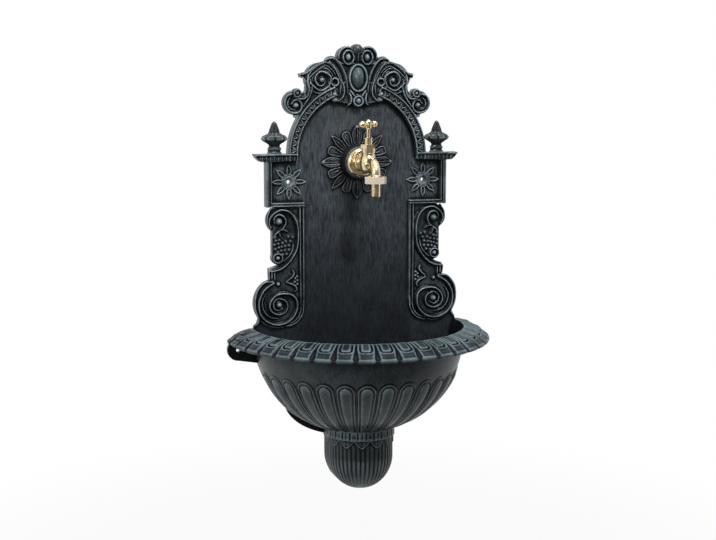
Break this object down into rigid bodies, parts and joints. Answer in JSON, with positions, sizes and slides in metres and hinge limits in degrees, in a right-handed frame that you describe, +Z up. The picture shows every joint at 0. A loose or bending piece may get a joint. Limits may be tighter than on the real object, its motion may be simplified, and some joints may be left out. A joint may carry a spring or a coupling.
{
  "type": "garden wall fountain",
  "caption": "Wall fountain of cast iron: an arched back plate with scroll crest and finials, a half-round fluted basin with a pendant, and a brass tap on a leaf rosette.",
  "frame": {"origin": "middle of the line through the two upper wall screw holes, on the wall plane", "axes": "+Z up, +Y into the wall, so the front faces -Y, and +X to the viewer's right"},
  "size_m": [0.426, 0.228, 0.7155],
  "materials": {
    "plate_iron": "blue-black patinated casting with verdigris highlights",
    "basin_iron": "grey-green patinated casting",
    "brass": "polished",
    "zinc_steel": "zinc plated",
    "stainless": "brushed",
    "rubber": "matt",
    "black_plastic": "moulded"
  },
  "bodies": {
    "fountain": {"back_plate": "plate_iron", "basin": "basin_iron", "basin_bolts": "zinc_steel", "basin_washers": "rubber", "basin_nuts": "zinc_steel", "pendant": "basin_iron", "tap_rosette": "plate_iron", "tap_flange": "brass", "tap_body": "brass", "tap_back_washer": "brass", "tap_back_nut": "brass", "tap_bonnet": "brass", "gland_nut": "brass", "gland_packing": "rubber", "union_nut": "brass", "hose_washer": "rubber", "hose_tail": "brass", "waste_body": "stainless", "waste_grate": "stainless", "grate_screw": "stainless", "waste_seal": "rubber", "waste_lock_nut": "black_plastic", "waste_elbow": "black_plastic", "slip_seal": "rubber", "slip_nut": "black_plastic"},
    "valve": {"jumper_valve": "brass", "valve_washer": "rubber"},
    "handle": {"spindle": "brass", "handle_bar": "brass", "handle_cap_nut": "brass"}
  },
  "joints": [
    {"name": "spindle_rise", "type": "slide", "parent": "fountain", "child": "valve", "axis": [0, 0, 1], "range_m": [0, 0.0038]},
    {"name": "handle_turn", "type": "hinge", "parent": "valve", "child": "handle", "pos_m": [0, -0.07, 0.091], "axis": [0, 0, 1], "range_deg": [0, 540]}
  ],
  "couplings": [
    {"joint": "spindle_rise", "follows": "handle_turn", "m_per_rad": 0.00039789}
  ]
}
